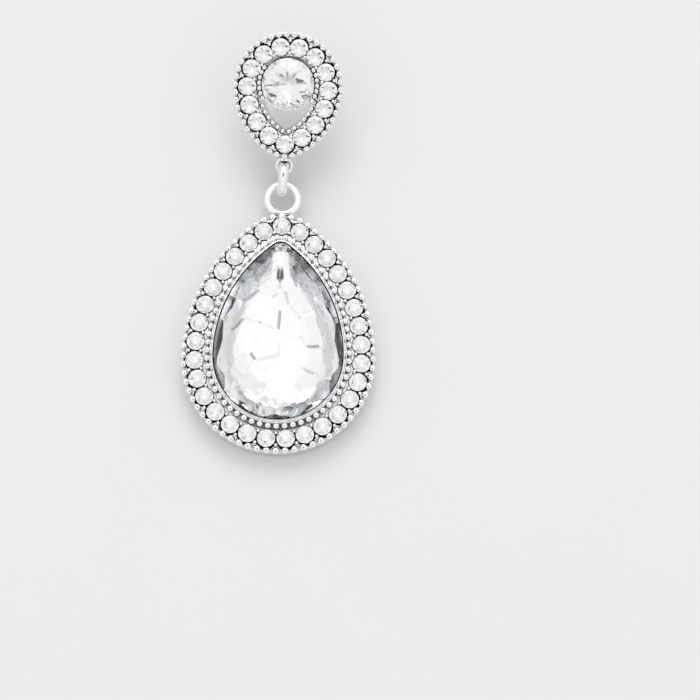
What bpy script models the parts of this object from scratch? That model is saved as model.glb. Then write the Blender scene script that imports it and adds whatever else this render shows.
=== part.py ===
"""Teardrop earring: a halo stud with a round stone, a jump ring and a halo drop with a pear stone.

It lies face up. The drop rests on its flat back, and the stud leans on the tip of its ear post.
+X is to the right of the front, +Y runs from the drop to the stud, and +Z is up.
"""

import math

import bmesh
import bpy
from mathutils import Matrix, Vector

MM = 0.001

# Pear stone of the drop
PEAR_WIDTH = 18.0 * MM
PEAR_LENGTH = 25.0 * MM
PEAR_TIP_RADIUS = 1.9 * MM
PEAR_CROWN = 2.0 * MM
PEAR_GIRDLE = 0.3 * MM
PEAR_PAVILION = 2.5 * MM
PEAR_FACETS = 16

# Round stone of the stud
ROUND_STONE = 7.0 * MM
ROUND_CROWN = 1.25 * MM
ROUND_GIRDLE = 0.2 * MM
ROUND_PAVILION = 2.1 * MM
ROUND_FACETS = 16

# Small round stones of both halos
SMALL_STONE = 2.4 * MM
SMALL_CROWN = 0.45 * MM
SMALL_GIRDLE = 0.12 * MM
SMALL_PAVILION = 0.95 * MM
SMALL_FACETS = 10

# Cut of the large stones: shares of the outline and of the crown's or the pavilion's height
TABLE_SHARE = 0.55
CROWN_WAIST = (0.80, 0.62)
PAVILION_WAIST = (0.62, 0.58)
CULET_SHARE = 0.14
SEAT_ROOM = 0.04

# Cast halo of the drop
DROP_BACK = 0.7 * MM
HALO_WIDTH = 4.0 * MM
HALO_HEIGHT = 3.0 * MM
ROW_INSET = 1.95 * MM
LIP_REACH = 0.5 * MM
LIP_THICKNESS = 0.22 * MM
EDGE_BEVEL = 0.15 * MM
CHANNEL_FLOOR = 0.9 * MM

# Beaded edges
OUTER_BEAD_PITCH = 1.24 * MM
INNER_BEAD_PITCH = 1.1 * MM
BEAD_PROUD = 0.12 * MM
RIB_FOOT = 0.8 * MM
RIB_GROOVE = 0.12
MIN_BEADS = 12
BEAD_STEPS = (
    # shares of the band's width: how far a step is drawn in, and how far it is raised
    (0.10, 0.22),
    (0.14, 0.14),
)

# Ring on the drop's tip
RING_OUTER = 5.15 * MM
RING_WIRE = 1.03 * MM
RING_STANDOFF = 2.1 * MM

# Jump ring
LINK_WIRE = 1.4 * MM
LINK_INNER_LENGTH = 2.6 * MM
LINK_INNER_WIDTH = 1.3 * MM
LINK_SLOPE = math.radians(35)
LINK_TURN = math.radians(4)

# Cast halo of the stud, whose round stone stands on the sides of its opening
STUD_LENGTH = 16.9 * MM
STUD_BAND = 4.0 * MM
STUD_HEIGHT = 2.6 * MM
STONE_OVERLAP = 0.15 * MM
WINDOW_TIP_RADIUS = 0.25 * MM
STUD_TURN = math.radians(2)
CUP_BACK = 0.5 * MM
CUP_INSET = 0.1 * MM
ROUND_RISE = 0.4 * MM
WINDOW_TOP = 1.5 * MM
EYE_WIRE = 0.55 * MM
EYE_HOLE = 1.75 * MM
EYE_LEVEL = 0.8 * MM
EYE_TUCK = 0.1 * MM

# Ear post
POST_DIAMETER = 0.75 * MM
POST_LENGTH = 9.5 * MM
POST_INSET = 2.5 * MM
POST_TIP_FLAT = 0.12
PAD_DIAMETER = 2.4 * MM
PAD_THICKNESS = 0.4 * MM

# Fits
STONE_FIT = 0.08 * MM
ROW_GAP = 0.1 * MM
STUD_ROW_GAP = 0.04 * MM
LINK_GAP = 0.1 * MM
SOLDER_GAP = 0.05 * MM
FLOOR_GAP = 0.05 * MM

# Mesh fineness
WIRE_SIDES = 6
RING_SIDES = 16
WINDOW_STEPS = 8
POST_SIDES = 12
POST_TIP_STEPS = 4
SHARP_ANGLE = math.radians(30)
FLAT_ANGLE = math.radians(0.5)


class Pear:
    """A teardrop outline of tangent arcs: a round end about the origin, two long sides and a round tip."""

    def __init__(self, width, length, tip_radius, heading):
        self.round_radius = width / 2
        self.tip_radius = tip_radius
        self.tip_centre = length - self.round_radius - tip_radius
        self.tip_reach = length - self.round_radius
        spread = self.round_radius - tip_radius
        self.side_radius = (self.tip_centre**2 + self.round_radius**2 - tip_radius**2) / (2 * spread)
        self.side_centre = self.round_radius - self.side_radius
        self.tip_turn = math.atan2(self.tip_centre, -self.side_centre)
        self.heading = heading

    def arcs(self, offset):
        """The right half from the tip down, each arc as centre, radius, first angle and last angle."""
        return (
            (Vector((0, self.tip_centre)), self.tip_radius + offset, math.pi / 2, self.tip_turn),
            (Vector((self.side_centre, 0)), self.side_radius + offset, self.tip_turn, 0),
            (Vector((0, 0)), self.round_radius + offset, 0, -math.pi / 2),
        )

    def half_length(self, offset):
        return sum(radius * (first - last) for _, radius, first, last in self.arcs(offset))

    def place(self, offset, run):
        """The point and outward normal at a run from the tip, measured down the right side."""
        half = self.half_length(offset)
        side = 1
        if run > half:
            run = 2 * half - run
            side = -1
        for centre, radius, first, last in self.arcs(offset):
            arc = radius * (first - last)
            if run <= arc:
                break
            run -= arc
        else:
            run = arc
        angle = first - run / radius
        normal = Vector((math.cos(angle), math.sin(angle)))
        point = centre + radius * normal
        mirror = Vector((side * self.heading, self.heading))
        return point * mirror, normal * mirror

    def walk(self, offset, count, start=0.0):
        """Places evenly spaced along the outline at an offset, from a share of one step past the tip."""
        step = 2 * self.half_length(offset) / count
        return [self.place(offset, (index + start) * step) for index in range(count)]

    def ring(self, count, offset, share, height, start=0.0):
        """A ring of points: the outline at an offset, shrunk to a share about the round end's centre."""
        return [((point + normal * offset) * share).to_3d() + Vector((0, 0, height))
                for point, normal in self.walk(0.0, count, start)]


def circle(count, radius, height, start=0.0):
    """A ring of points about the Z axis."""
    turns = [2 * math.pi * (index + start) / count for index in range(count)]
    return [Vector((radius * math.sin(turn), radius * math.cos(turn), height)) for turn in turns]


def new_object(name, bm, material=None, parent=None):
    """Put a bmesh, with its faces pointing out, into a new object of the scene."""
    bmesh.ops.recalc_face_normals(bm, faces=bm.faces)
    mesh = bpy.data.meshes.new(name)
    bm.to_mesh(mesh)
    bm.free()
    mesh.shade_smooth()
    mesh.set_sharp_from_angle(angle=SHARP_ANGLE)
    body = bpy.data.objects.new(name, mesh)
    bpy.context.collection.objects.link(body)
    body.parent = parent
    if material:
        mesh.materials.append(material)
    return body


def band_between(bm, lower, upper):
    """Faces from one loop to the next: quads, or triangles where the loops have unlike counts."""
    if len(lower) == len(upper):
        count = len(lower)
        after = [(index + 1) % count for index in range(count)]
        return [bm.faces.new((lower[index], lower[after[index]], upper[after[index]], upper[index]))
                for index in range(count)]
    faces = []
    low = 0
    high = 0
    while low < len(lower) or high < len(upper):
        left = lower[low % len(lower)]
        right = upper[high % len(upper)]
        if (low + 1) / len(lower) <= (high + 1) / len(upper):
            low += 1
            faces.append(bm.faces.new((left, lower[low % len(lower)], right)))
        else:
            high += 1
            faces.append(bm.faces.new((left, upper[high % len(upper)], right)))
    return faces


def skin(bm, rings, closed_section=False):
    """Bands of faces between rings, with a cap on each end, or joined round as a closed section."""
    loops = [[bm.verts.new(point) for point in ring] for ring in rings]
    bands = [band_between(bm, lower, upper) for lower, upper in zip(loops, loops[1:])]
    if closed_section:
        bands.append(band_between(bm, loops[-1], loops[0]))
    else:
        bm.faces.new(loops[0])
        bm.faces.new(loops[-1])
    bmesh.ops.recalc_face_normals(bm, faces=bm.faces)
    return bands


def loft(name, rings, material=None, parent=None, closed_section=False):
    bm = bmesh.new()
    skin(bm, rings, closed_section)
    return new_object(name, bm, material, parent)


def raise_beads(bm, faces, size):
    """Turn each face of an edge band into a low bead."""
    for inset, rise in BEAD_STEPS:
        bmesh.ops.inset_individual(bm, faces=faces, thickness=size * inset, depth=size * rise)


def boolean(body, tool, operation, solver="EXACT"):
    """Join or cut a body with a tool, which stays in the file as a wire guide."""
    tool.hide_render = True
    tool.display_type = "WIRE"
    modifier = body.modifiers.new(tool.name, "BOOLEAN")
    modifier.operation = operation
    modifier.solver = solver
    modifier.object = tool


def material(name, colour, metallic, roughness):
    finish = bpy.data.materials.new(name)
    finish.use_nodes = True
    shader = finish.node_tree.nodes["Principled BSDF"]
    shader.inputs["Base Color"].default_value = (*colour, 1.0)
    shader.inputs["Metallic"].default_value = metallic
    shader.inputs["Roughness"].default_value = roughness
    return finish


def cut_levels(crown, girdle, pavilion, level):
    """The rings of a cut stone from table to culet: share of the outline, height, and its turn in facets."""
    return (
        (TABLE_SHARE, level + girdle + crown, 0.0),
        (CROWN_WAIST[0], level + girdle + crown * CROWN_WAIST[1], 0.5),
        (1.0, level + girdle, 0.0),
        (1.0, level, 0.0),
        (PAVILION_WAIST[0], level - pavilion * PAVILION_WAIST[1], 0.5),
        (CULET_SHARE, level - pavilion, 0.0),
    )


def faceted(bm, points):
    """Add the flat-faced solid that stands on the given corners."""
    corners = [bm.verts.new(point) for point in points]
    hull = bmesh.ops.convex_hull(bm, input=corners)
    bmesh.ops.delete(bm, geom=hull["geom_interior"], context="VERTS")
    bmesh.ops.dissolve_limit(bm, angle_limit=FLAT_ANGLE, verts=bm.verts, edges=bm.edges)


def small_stone_points():
    """Corners of a small stone about its own axis, with the underside of its girdle at zero."""
    radius = SMALL_STONE / 2
    return (
        circle(SMALL_FACETS, radius * TABLE_SHARE, SMALL_GIRDLE + SMALL_CROWN)
        + circle(SMALL_FACETS, radius, SMALL_GIRDLE)
        + circle(SMALL_FACETS, radius, 0.0)
        + circle(1, 0.0, -SMALL_PAVILION)
    )


def standing(normal):
    """A turn about Z that lays a shape's +Y along a flat outward normal."""
    return Matrix.Rotation(math.atan2(-normal.x, normal.y), 4, "Z")


def bead_count(pear, offset, pitch):
    """How many beads of a pitch go round an outline."""
    return max(MIN_BEADS, round(2 * pear.half_length(offset) / pitch))


def hoop(name, centre, mean_radius, wire, sides, finish=None, parent=None):
    """A round wire ring lying flat about a centre."""
    rings = []
    for index in range(WIRE_SIDES):
        angle = 2 * math.pi * (index + 0.5) / WIRE_SIDES
        radius = mean_radius + wire / 2 * math.cos(angle)
        rings.append([centre + corner for corner in circle(sides, radius, wire / 2 * math.sin(angle))])
    return loft(name, rings, finish, parent, closed_section=True)


def empty(name, parent=None):
    holder = bpy.data.objects.new(name, None)
    bpy.context.collection.objects.link(holder)
    holder.parent = parent
    return holder


# Worked-out sizes of the drop
PEAR = Pear(PEAR_WIDTH, PEAR_LENGTH, PEAR_TIP_RADIUS, heading=1)
PEAR_LEVEL = DROP_BACK + STONE_FIT + PEAR_PAVILION
DROP_ROW = HALO_WIDTH - ROW_INSET
CHANNEL_HALF = SMALL_STONE / 2 + STONE_FIT
CHANNEL_LEVEL = HALO_HEIGHT - CHANNEL_FLOOR - STONE_FIT
RING_CENTRE = Vector((0, PEAR.tip_reach + HALO_WIDTH + RING_STANDOFF, 0))
RING_MEAN = (RING_OUTER - RING_WIRE) / 2

# Worked-out sizes of the jump ring, whose loop is two half circles joined by straight sides
LINK_END_RADIUS = (LINK_INNER_WIDTH + LINK_WIRE) / 2
LINK_STRAIGHT = LINK_INNER_LENGTH - LINK_INNER_WIDTH
LINK_OUTER_RADIUS = LINK_END_RADIUS + LINK_WIRE / 2
RING_HOLD = RING_WIRE / 2 + LINK_GAP
EYE_HOLD = EYE_WIRE / 2 + LINK_GAP
LINK_SPAN = LINK_INNER_LENGTH - RING_HOLD - EYE_HOLD
LINK_PAST_RING = LINK_INNER_LENGTH / 2 - RING_HOLD
LINK_REACH_DOWN = LINK_OUTER_RADIUS + (LINK_STRAIGHT / 2 - LINK_PAST_RING) * math.sin(LINK_SLOPE)
RING_LEVEL = LINK_REACH_DOWN + FLOOR_GAP
LINK_RISE = Vector((
    math.cos(LINK_SLOPE) * math.sin(LINK_TURN),
    math.cos(LINK_SLOPE) * math.cos(LINK_TURN),
    math.sin(LINK_SLOPE),
))
RING_HOLD_POINT = RING_CENTRE + Vector((0, RING_MEAN, RING_LEVEL))
EYE_HOLD_POINT = RING_HOLD_POINT + LINK_RISE * LINK_SPAN

# Worked-out sizes of the stud, which leans on its post
STUD_WIDTH = ROUND_STONE + 2 * (STUD_BAND - STONE_OVERLAP)
STUD = Pear(STUD_WIDTH, STUD_LENGTH, STUD_BAND + WINDOW_TIP_RADIUS, heading=-1)
ROUND_LEVEL = CUP_BACK + STONE_FIT + ROUND_PAVILION
EYE_REACH = EYE_HOLE + EYE_WIRE / 2 + EYE_TUCK
EYE_MEAN = (EYE_HOLE + EYE_WIRE) / 2
EYE_CENTRE = Vector((0, -(STUD.tip_reach + EYE_REACH - EYE_MEAN), EYE_LEVEL))
POST_FROM_TIP = STUD_LENGTH - POST_INSET
POST_ARM = EYE_REACH + POST_FROM_TIP
POST_DEPTH = EYE_LEVEL + POST_LENGTH - POST_DIAMETER / 2
EYE_CLIMB = EYE_HOLD_POINT.z - POST_DIAMETER / 2 - FLOOR_GAP
STUD_TILT = math.atan2(POST_DEPTH, POST_ARM) - math.asin(EYE_CLIMB / math.hypot(POST_DEPTH, POST_ARM))


def drop_frame(finish, parent):
    """The cast halo: flat back, ribbed wall, stone channel, bezel lip and a seat for the pear stone."""
    lip_foot = PEAR_LEVEL + PEAR_GIRDLE + STONE_FIT
    crown_slope = PEAR_CROWN * CROWN_WAIST[1] / (PEAR_WIDTH / 2 * (1 - CROWN_WAIST[0]))
    lip_rise = LIP_REACH * crown_slope
    seat_level = PEAR_LEVEL - STONE_FIT
    outer = bead_count(PEAR, HALO_WIDTH, OUTER_BEAD_PITCH)
    inner = bead_count(PEAR, STONE_FIT + LIP_THICKNESS, INNER_BEAD_PITCH)
    sections = (
        # points, offset from the stone's outline, share of the outline, height
        (outer, HALO_WIDTH - EDGE_BEVEL, 1.0, 0.0),
        (outer, HALO_WIDTH, 1.0, EDGE_BEVEL),
        (outer, HALO_WIDTH, 1.0, RIB_FOOT),
        (outer, HALO_WIDTH, 1.0, HALO_HEIGHT),
        (outer, DROP_ROW + CHANNEL_HALF, 1.0, HALO_HEIGHT),
        (outer, DROP_ROW + CHANNEL_HALF, 1.0, CHANNEL_LEVEL),
        (inner, DROP_ROW - CHANNEL_HALF, 1.0, CHANNEL_LEVEL),
        (inner, DROP_ROW - CHANNEL_HALF, 1.0, HALO_HEIGHT),
        (inner, STONE_FIT + LIP_THICKNESS, 1.0, HALO_HEIGHT),
        (inner, STONE_FIT + LIP_THICKNESS, 1.0, lip_foot + LIP_THICKNESS / 2),
        (inner, -LIP_REACH, 1.0, lip_foot + lip_rise + LIP_THICKNESS),
        (inner, -LIP_REACH, 1.0, lip_foot + lip_rise),
        (inner, STONE_FIT, 1.0, lip_foot),
        (inner, STONE_FIT, 1.0, seat_level),
        (inner, STONE_FIT, PAVILION_WAIST[0] + SEAT_ROOM, seat_level - PEAR_PAVILION * PAVILION_WAIST[1]),
        (inner, STONE_FIT, CULET_SHARE + SEAT_ROOM, DROP_BACK),
    )
    bm = bmesh.new()
    bands = skin(bm, [PEAR.ring(count, offset, share, height) for count, offset, share, height in sections])
    bmesh.ops.inset_individual(bm, faces=bands[2], thickness=OUTER_BEAD_PITCH * RIB_GROOVE, depth=BEAD_PROUD)
    raise_beads(bm, bands[3], HALO_WIDTH - DROP_ROW - CHANNEL_HALF)
    raise_beads(bm, bands[7], DROP_ROW - CHANNEL_HALF - STONE_FIT - LIP_THICKNESS)
    frame = new_object("drop_frame", bm, finish, parent)

    hoop_centre = RING_CENTRE + Vector((0, 0, RING_LEVEL))
    boolean(frame, hoop("tip_ring", hoop_centre, RING_MEAN, RING_WIRE, RING_SIDES, parent=parent), "UNION")
    return frame


def pear_stone(finish, parent):
    """The pear-cut stone: a table, crown facets, a thin girdle and a pavilion."""
    bm = bmesh.new()
    points = []
    for share, height, start in cut_levels(PEAR_CROWN, PEAR_GIRDLE, PEAR_PAVILION, PEAR_LEVEL):
        facets = PEAR_FACETS * 2 if share == 1.0 else PEAR_FACETS
        points += PEAR.ring(facets, 0.0, share, height, start)
    faceted(bm, points)
    return new_object("pear_stone", bm, finish, parent)


def drop_stones(finish, parent):
    """The row of small stones in the drop's channel, one solid each."""
    pitch = SMALL_STONE + ROW_GAP
    count = int(2 * PEAR.half_length(DROP_ROW) / pitch)
    for index, (point, normal) in enumerate(PEAR.walk(DROP_ROW, count), start=1):
        bm = bmesh.new()
        faceted(bm, small_stone_points())
        stone = new_object(f"drop_stone_{index:02d}", bm, finish, parent)
        stone.location = point.to_3d() + Vector((0, 0, CHANNEL_LEVEL + STONE_FIT + SMALL_PAVILION))
        stone.rotation_euler.z = math.atan2(-normal.x, normal.y)


def jump_ring(finish, parent):
    """The thick oval link, upright, through the drop's ring and the stud's eye."""
    rings = []
    half = RING_SIDES // 2
    for end, first in ((1, 0.0), (-1, math.pi)):
        for index in range(half):
            angle = first + math.pi * index / (half - 1)
            out = Vector((0, math.sin(angle), math.cos(angle)))
            centre = Vector((0, end * LINK_STRAIGHT / 2, 0)) + out * LINK_END_RADIUS
            ring = []
            for side in range(WIRE_SIDES):
                spin = 2 * math.pi * (side + 0.5) / WIRE_SIDES
                ring.append(centre + LINK_WIRE / 2 * (out * math.cos(spin) + Vector((math.sin(spin), 0, 0))))
            rings.append(ring)
    link = loft("jump_ring", rings, finish, parent, closed_section=True)
    link.location = RING_HOLD_POINT + LINK_RISE * LINK_PAST_RING
    link.rotation_euler = (LINK_SLOPE, 0, -LINK_TURN)
    return link


def window_outline():
    """The open window under the round stone: two sides that meet at the tip, and the cup's round edge."""
    offset = -STUD_BAND
    tip_arc, side_arc, _ = STUD.arcs(offset)
    side_angle = math.asin(WINDOW_TOP / side_arc[1])
    tip_run = tip_arc[1] * (tip_arc[2] - tip_arc[3])
    side_run = tip_run + side_arc[1] * (side_arc[2] - side_angle)
    left_side = [STUD.place(offset, side_run * index / WINDOW_STEPS)[0] for index in range(WINDOW_STEPS + 1)]
    right_side = [point * Vector((-1, 1)) for point in reversed(left_side[1:])]

    cup_radius = ROUND_STONE / 2 - CUP_INSET
    reach = math.acos((WINDOW_TOP + ROUND_RISE) / cup_radius)
    edge = []
    for index in range(WINDOW_STEPS + 1):
        angle = reach * (2 * index / WINDOW_STEPS - 1)
        edge.append(Vector((0, ROUND_RISE)) + Vector((math.sin(angle), -math.cos(angle))) * cup_radius)
    return left_side + edge + right_side


def stud_frame(finish, parent):
    """The stud's cast halo with its eye, stone cup, beaded edges and small stones, fused as one."""
    outer = bead_count(STUD, 0.0, OUTER_BEAD_PITCH)
    inner = bead_count(STUD, -STUD_BAND, INNER_BEAD_PITCH)
    stone_reach = SMALL_STONE / 2 + STONE_FIT
    sections = (
        # points, offset from the outer wall, height
        (outer, -EDGE_BEVEL, 0.0),
        (outer, 0.0, EDGE_BEVEL),
        (outer, 0.0, STUD_HEIGHT),
        (outer, stone_reach - ROW_INSET, STUD_HEIGHT),
        (inner, -stone_reach - ROW_INSET, STUD_HEIGHT),
        (inner, -STUD_BAND, STUD_HEIGHT),
    )
    bm = bmesh.new()
    bands = skin(bm, [STUD.ring(count, offset, 1.0, height) for count, offset, height in sections])
    raise_beads(bm, bands[2], ROW_INSET - stone_reach)
    raise_beads(bm, bands[4], STUD_BAND - ROW_INSET - stone_reach)
    frame = new_object("stud_frame", bm, finish, parent)

    outline = window_outline()
    levels = (-STUD_HEIGHT, STUD_HEIGHT * 2)
    window = [[point.to_3d() + Vector((0, 0, level)) for point in outline] for level in levels]
    boolean(frame, loft("stud_window", window, parent=parent), "DIFFERENCE")
    eye = hoop("stud_eye", EYE_CENTRE, EYE_MEAN, EYE_WIRE, RING_SIDES, parent=parent)
    boolean(frame, eye, "UNION", solver="MANIFOLD")

    bm = bmesh.new()
    row = -ROW_INSET
    stones = int(2 * STUD.half_length(row) / (SMALL_STONE + STUD_ROW_GAP))
    lift = Vector((0, 0, STUD_HEIGHT - SMALL_GIRDLE / 2))
    for point, normal in STUD.walk(row, stones):
        turn = Matrix.Translation(point.to_3d() + lift) @ standing(normal)
        faceted(bm, [turn @ corner for corner in small_stone_points()])
    boolean(frame, new_object("stud_stones", bm, parent=parent), "UNION")

    centre = Vector((0, ROUND_RISE, 0))
    seat_radius = ROUND_STONE / 2 + STONE_FIT
    seat_rings = (
        circle(ROUND_FACETS, seat_radius * (CULET_SHARE + SEAT_ROOM), CUP_BACK),
        circle(ROUND_FACETS, seat_radius * (PAVILION_WAIST[0] + SEAT_ROOM),
               ROUND_LEVEL - STONE_FIT - ROUND_PAVILION * PAVILION_WAIST[1]),
        circle(ROUND_FACETS, seat_radius, ROUND_LEVEL - STONE_FIT),
        circle(ROUND_FACETS, seat_radius, STUD_HEIGHT + ROUND_CROWN * 2),
    )
    seat = loft("round_seat", [[centre + corner for corner in ring] for ring in seat_rings], parent=parent)
    boolean(frame, seat, "DIFFERENCE")
    return frame


def round_stone(finish, parent):
    """The round brilliant in the stud's cup."""
    bm = bmesh.new()
    points = []
    for share, height, start in cut_levels(ROUND_CROWN, ROUND_GIRDLE, ROUND_PAVILION, ROUND_LEVEL):
        points += circle(ROUND_FACETS, ROUND_STONE / 2 * share, height, start)
    faceted(bm, [Vector((0, ROUND_RISE, 0)) + point for point in points])
    return new_object("round_stone", bm, finish, parent)


def ear_post(finish, parent):
    """The straight post behind the stud's top, with a flat pad and a round end."""
    foot = -SOLDER_GAP
    radius = POST_DIAMETER / 2
    tip_centre = radius - POST_LENGTH
    rings = [
        circle(POST_SIDES, PAD_DIAMETER / 2, foot),
        circle(POST_SIDES, PAD_DIAMETER / 2, foot - PAD_THICKNESS),
        circle(POST_SIDES, radius, foot - PAD_THICKNESS),
    ]
    for step in range(POST_TIP_STEPS):
        angle = math.pi / 2 * step / POST_TIP_STEPS
        rings.append(circle(POST_SIDES, radius * math.cos(angle), tip_centre - radius * math.sin(angle)))
    rings.append(circle(POST_SIDES, radius * POST_TIP_FLAT, -POST_LENGTH))
    centre = Vector((0, POST_FROM_TIP - STUD.tip_reach, 0))
    return loft("ear_post", [[centre + corner for corner in ring] for ring in rings], finish, parent)


def place_stud(holder):
    """Tilt and turn the stud about its eye: the eye hangs in the link and the post meets the floor."""
    turn = Matrix.Rotation(-STUD_TURN, 4, "Z") @ Matrix.Rotation(STUD_TILT, 4, "X")
    eye_hold = EYE_CENTRE - Vector((0, EYE_MEAN, 0))
    holder.matrix_local = Matrix.Translation(EYE_HOLD_POINT - turn @ eye_hold) @ turn


def stand_on_origin(root):
    """Move the whole earring so that the origin is under the middle of its box."""
    bpy.context.view_layer.update()
    graph = bpy.context.evaluated_depsgraph_get()
    corners = []
    for body in bpy.context.scene.objects:
        if body.type == "MESH" and not body.hide_render:
            mesh = body.evaluated_get(graph).data
            corners += [body.matrix_world @ vertex.co for vertex in mesh.vertices]
    low = Vector([min(corner[axis] for corner in corners) for axis in range(3)])
    high = Vector([max(corner[axis] for corner in corners) for axis in range(3)])
    root.location = (-(low.x + high.x) / 2, -(low.y + high.y) / 2, -low.z)


def main():
    for leftover in list(bpy.data.objects):
        bpy.data.objects.remove(leftover, do_unlink=True)

    silver = material("bright_rhodium", (0.86, 0.86, 0.87), 1.0, 0.16)
    crystal = material("clear_crystal", (0.92, 0.94, 0.96), 0.0, 0.04)

    root = empty("earring")
    drop = empty("drop", root)
    stud = empty("stud", root)

    drop_frame(silver, drop)
    pear_stone(crystal, drop)
    drop_stones(crystal, drop)
    jump_ring(silver, drop)
    stud_frame(silver, stud)
    round_stone(crystal, stud)
    ear_post(silver, stud)
    place_stud(stud)
    stand_on_origin(root)


main()
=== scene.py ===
"""Teardrop halo earring: the fine surface of each piece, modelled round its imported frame."""

import math

import bmesh
import bpy
from bpy.props import FloatProperty, FloatVectorProperty, IntProperty, PointerProperty
from mathutils import Matrix, Vector


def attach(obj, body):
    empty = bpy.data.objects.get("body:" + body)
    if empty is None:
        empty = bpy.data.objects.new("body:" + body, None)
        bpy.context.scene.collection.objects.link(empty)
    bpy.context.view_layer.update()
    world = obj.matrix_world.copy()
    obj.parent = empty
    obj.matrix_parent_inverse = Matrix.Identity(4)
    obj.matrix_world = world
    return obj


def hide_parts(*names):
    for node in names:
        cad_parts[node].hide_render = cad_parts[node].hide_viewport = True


bl_info = {
    "name": "Teardrop Halo Earring",
    "version": (1, 0, 0),
    "blender": (4, 5, 0),
    "location": "View3D > Sidebar > Earring",
    "description": "Models the settings, grains, crystals and findings of a teardrop earring",
    "category": "Add Mesh",
}

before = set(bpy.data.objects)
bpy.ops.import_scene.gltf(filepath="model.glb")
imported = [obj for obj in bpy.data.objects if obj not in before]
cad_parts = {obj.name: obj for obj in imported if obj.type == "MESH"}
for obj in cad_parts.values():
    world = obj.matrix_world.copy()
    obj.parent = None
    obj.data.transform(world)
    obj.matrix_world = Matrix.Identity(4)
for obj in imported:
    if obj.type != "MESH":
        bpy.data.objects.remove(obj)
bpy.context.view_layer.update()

MM = 0.001
BODY = "root"

# Outlines and heights that the frame's own pieces have
PEAR_WIDTH = 18.0 * MM
PEAR_LENGTH = 25.0 * MM
PEAR_TIP_RADIUS = 1.9 * MM
PEAR_GIRDLE_FOOT = 3.28 * MM
PEAR_GIRDLE = 0.3 * MM
PEAR_CROWN = 2.0 * MM
PEAR_PAVILION = 2.5 * MM
DROP_CENTRE = Vector((0, -15.9137, 0)) * MM
DROP_HALO = 4.0 * MM
DROP_ROW = 2.05 * MM
DROP_STONES = 31
DROP_TOP = 3.0 * MM
DROP_BACK = 0.7 * MM

ROUND_STONE = 7.0 * MM
ROUND_GIRDLE_FOOT = 2.68 * MM
ROUND_GIRDLE = 0.2 * MM
ROUND_CROWN = 1.25 * MM
ROUND_PAVILION = 2.1 * MM
ROUND_RISE = 0.4 * MM

SMALL_STONE = 2.4 * MM
SMALL_GIRDLE = 0.12 * MM
SMALL_CROWN = 0.45 * MM
SMALL_PAVILION = 0.95 * MM
DROP_STONE_LEVEL = 3.05 * MM
STUD_STONE_LEVEL = 2.54 * MM

STUD_WIDTH = 14.7 * MM
STUD_LENGTH = 16.9 * MM
STUD_TIP_RADIUS = 4.25 * MM
STUD_HALO = 4.0 * MM
STUD_ROW = -1.95 * MM
STUD_STONES = 15
STUD_TOP = 2.6 * MM
STUD_PLACE = (
    Matrix.Translation(Vector((0.4773, 20.5943, 6.8871)) * MM)
    @ Matrix.Rotation(math.radians(-2), 4, "Z")
    @ Matrix.Rotation(math.radians(23.302), 4, "X")
)
DROP_PLACE = Matrix.Translation(DROP_CENTRE)

# Rows of grains: offset from the outline and height of their centres
DROP_OUTER_GRAINS = (3.5 * MM, 2.74 * MM)
DROP_INNER_GRAINS = (0.36 * MM, 3.5 * MM)
STUD_OUTER_GRAINS = (-0.38 * MM, 2.3 * MM)
STUD_INNER_GRAINS = (-3.52 * MM, 2.36 * MM)
RIM_GRAINS = 7
RIM_GRAIN_STEP = math.radians(10.6)
SEAT_FLOOR = 2.02 * MM
POLISHED_ABOVE = 2.97 * MM
POLISHED_BELOW = 0.65 * MM
LIP_FOOT = 3.75 * MM

RING_CENTRE = Vector((0, 6.186, 2.08)) * MM
RING_MEAN = 2.06 * MM
RING_WIRE = 1.03 * MM
LINK_SLOPE = math.radians(35)
LINK_TURN = math.radians(4)
LINK_WIRE = 1.4 * MM
LINK_END = 1.35 * MM
LINK_STRAIGHT = 1.3 * MM
LINK_CENTRE = Vector((0.0391, 8.8058, 2.4729)) * MM
EYE_CENTRE = Vector((0, -10.705, 0.8)) * MM
EYE_MEAN = 0.97 * MM
EYE_WIRE = 0.5 * MM
COLLAR_PLACE = Matrix.Translation(Vector((0, -9.95, 1.25)) * MM) @ Matrix.Rotation(math.radians(-90), 4, "X")
POST_CENTRE = Vector((0, 4.85, 0)) * MM
POST_DIAMETER = 0.75 * MM
POST_LENGTH = 9.5 * MM
PAD_DIAMETER = 2.4 * MM
PAD_THICKNESS = 0.4 * MM
TENT_OPENING = (0.0, -0.247, 0.969)


# Sections in millimetres: offset from the outline, height, and share of the ribs' relief
DROP_SECTION = (
    (3.42, 0.0, 0), (3.52, 0.06, 0), (3.57, 0.18, 0), (3.62, 0.6, 0), (3.56, 0.7, 0), (3.58, 0.82, 0),
    (3.64, 0.95, 1), (3.74, 1.6, 1), (3.82, 2.15, 1), (3.78, 2.34, 0.6), (3.64, 2.44, 0), (3.42, 2.52, 0),
    (3.27, 2.7, 0), (3.2, 2.88, 0), (3.06, 2.95, 0), (2.05, 2.95, 0), (0.9, 2.95, 0), (0.8, 2.97, 0),
    (0.68, 3.0, 0), (0.6, 3.1, 0), (0.2, 3.16, 0), (0.14, 3.3, 0), (0.08, 3.7, 0), (-0.06, 3.84, 0),
    (-0.16, 4.04, 0), (-0.2, 4.15, 0), (-0.27, 4.22, 0), (-0.33, 4.23, 0), (-0.38, 4.2, 0),
    (-0.5, 4.0, 0), (-0.30, 3.85, 0), (0.02, 3.68, 0), (0.08, 3.6, 0), (0.08, 3.1, 0), (0.08, 0.7, 0),
)
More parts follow.
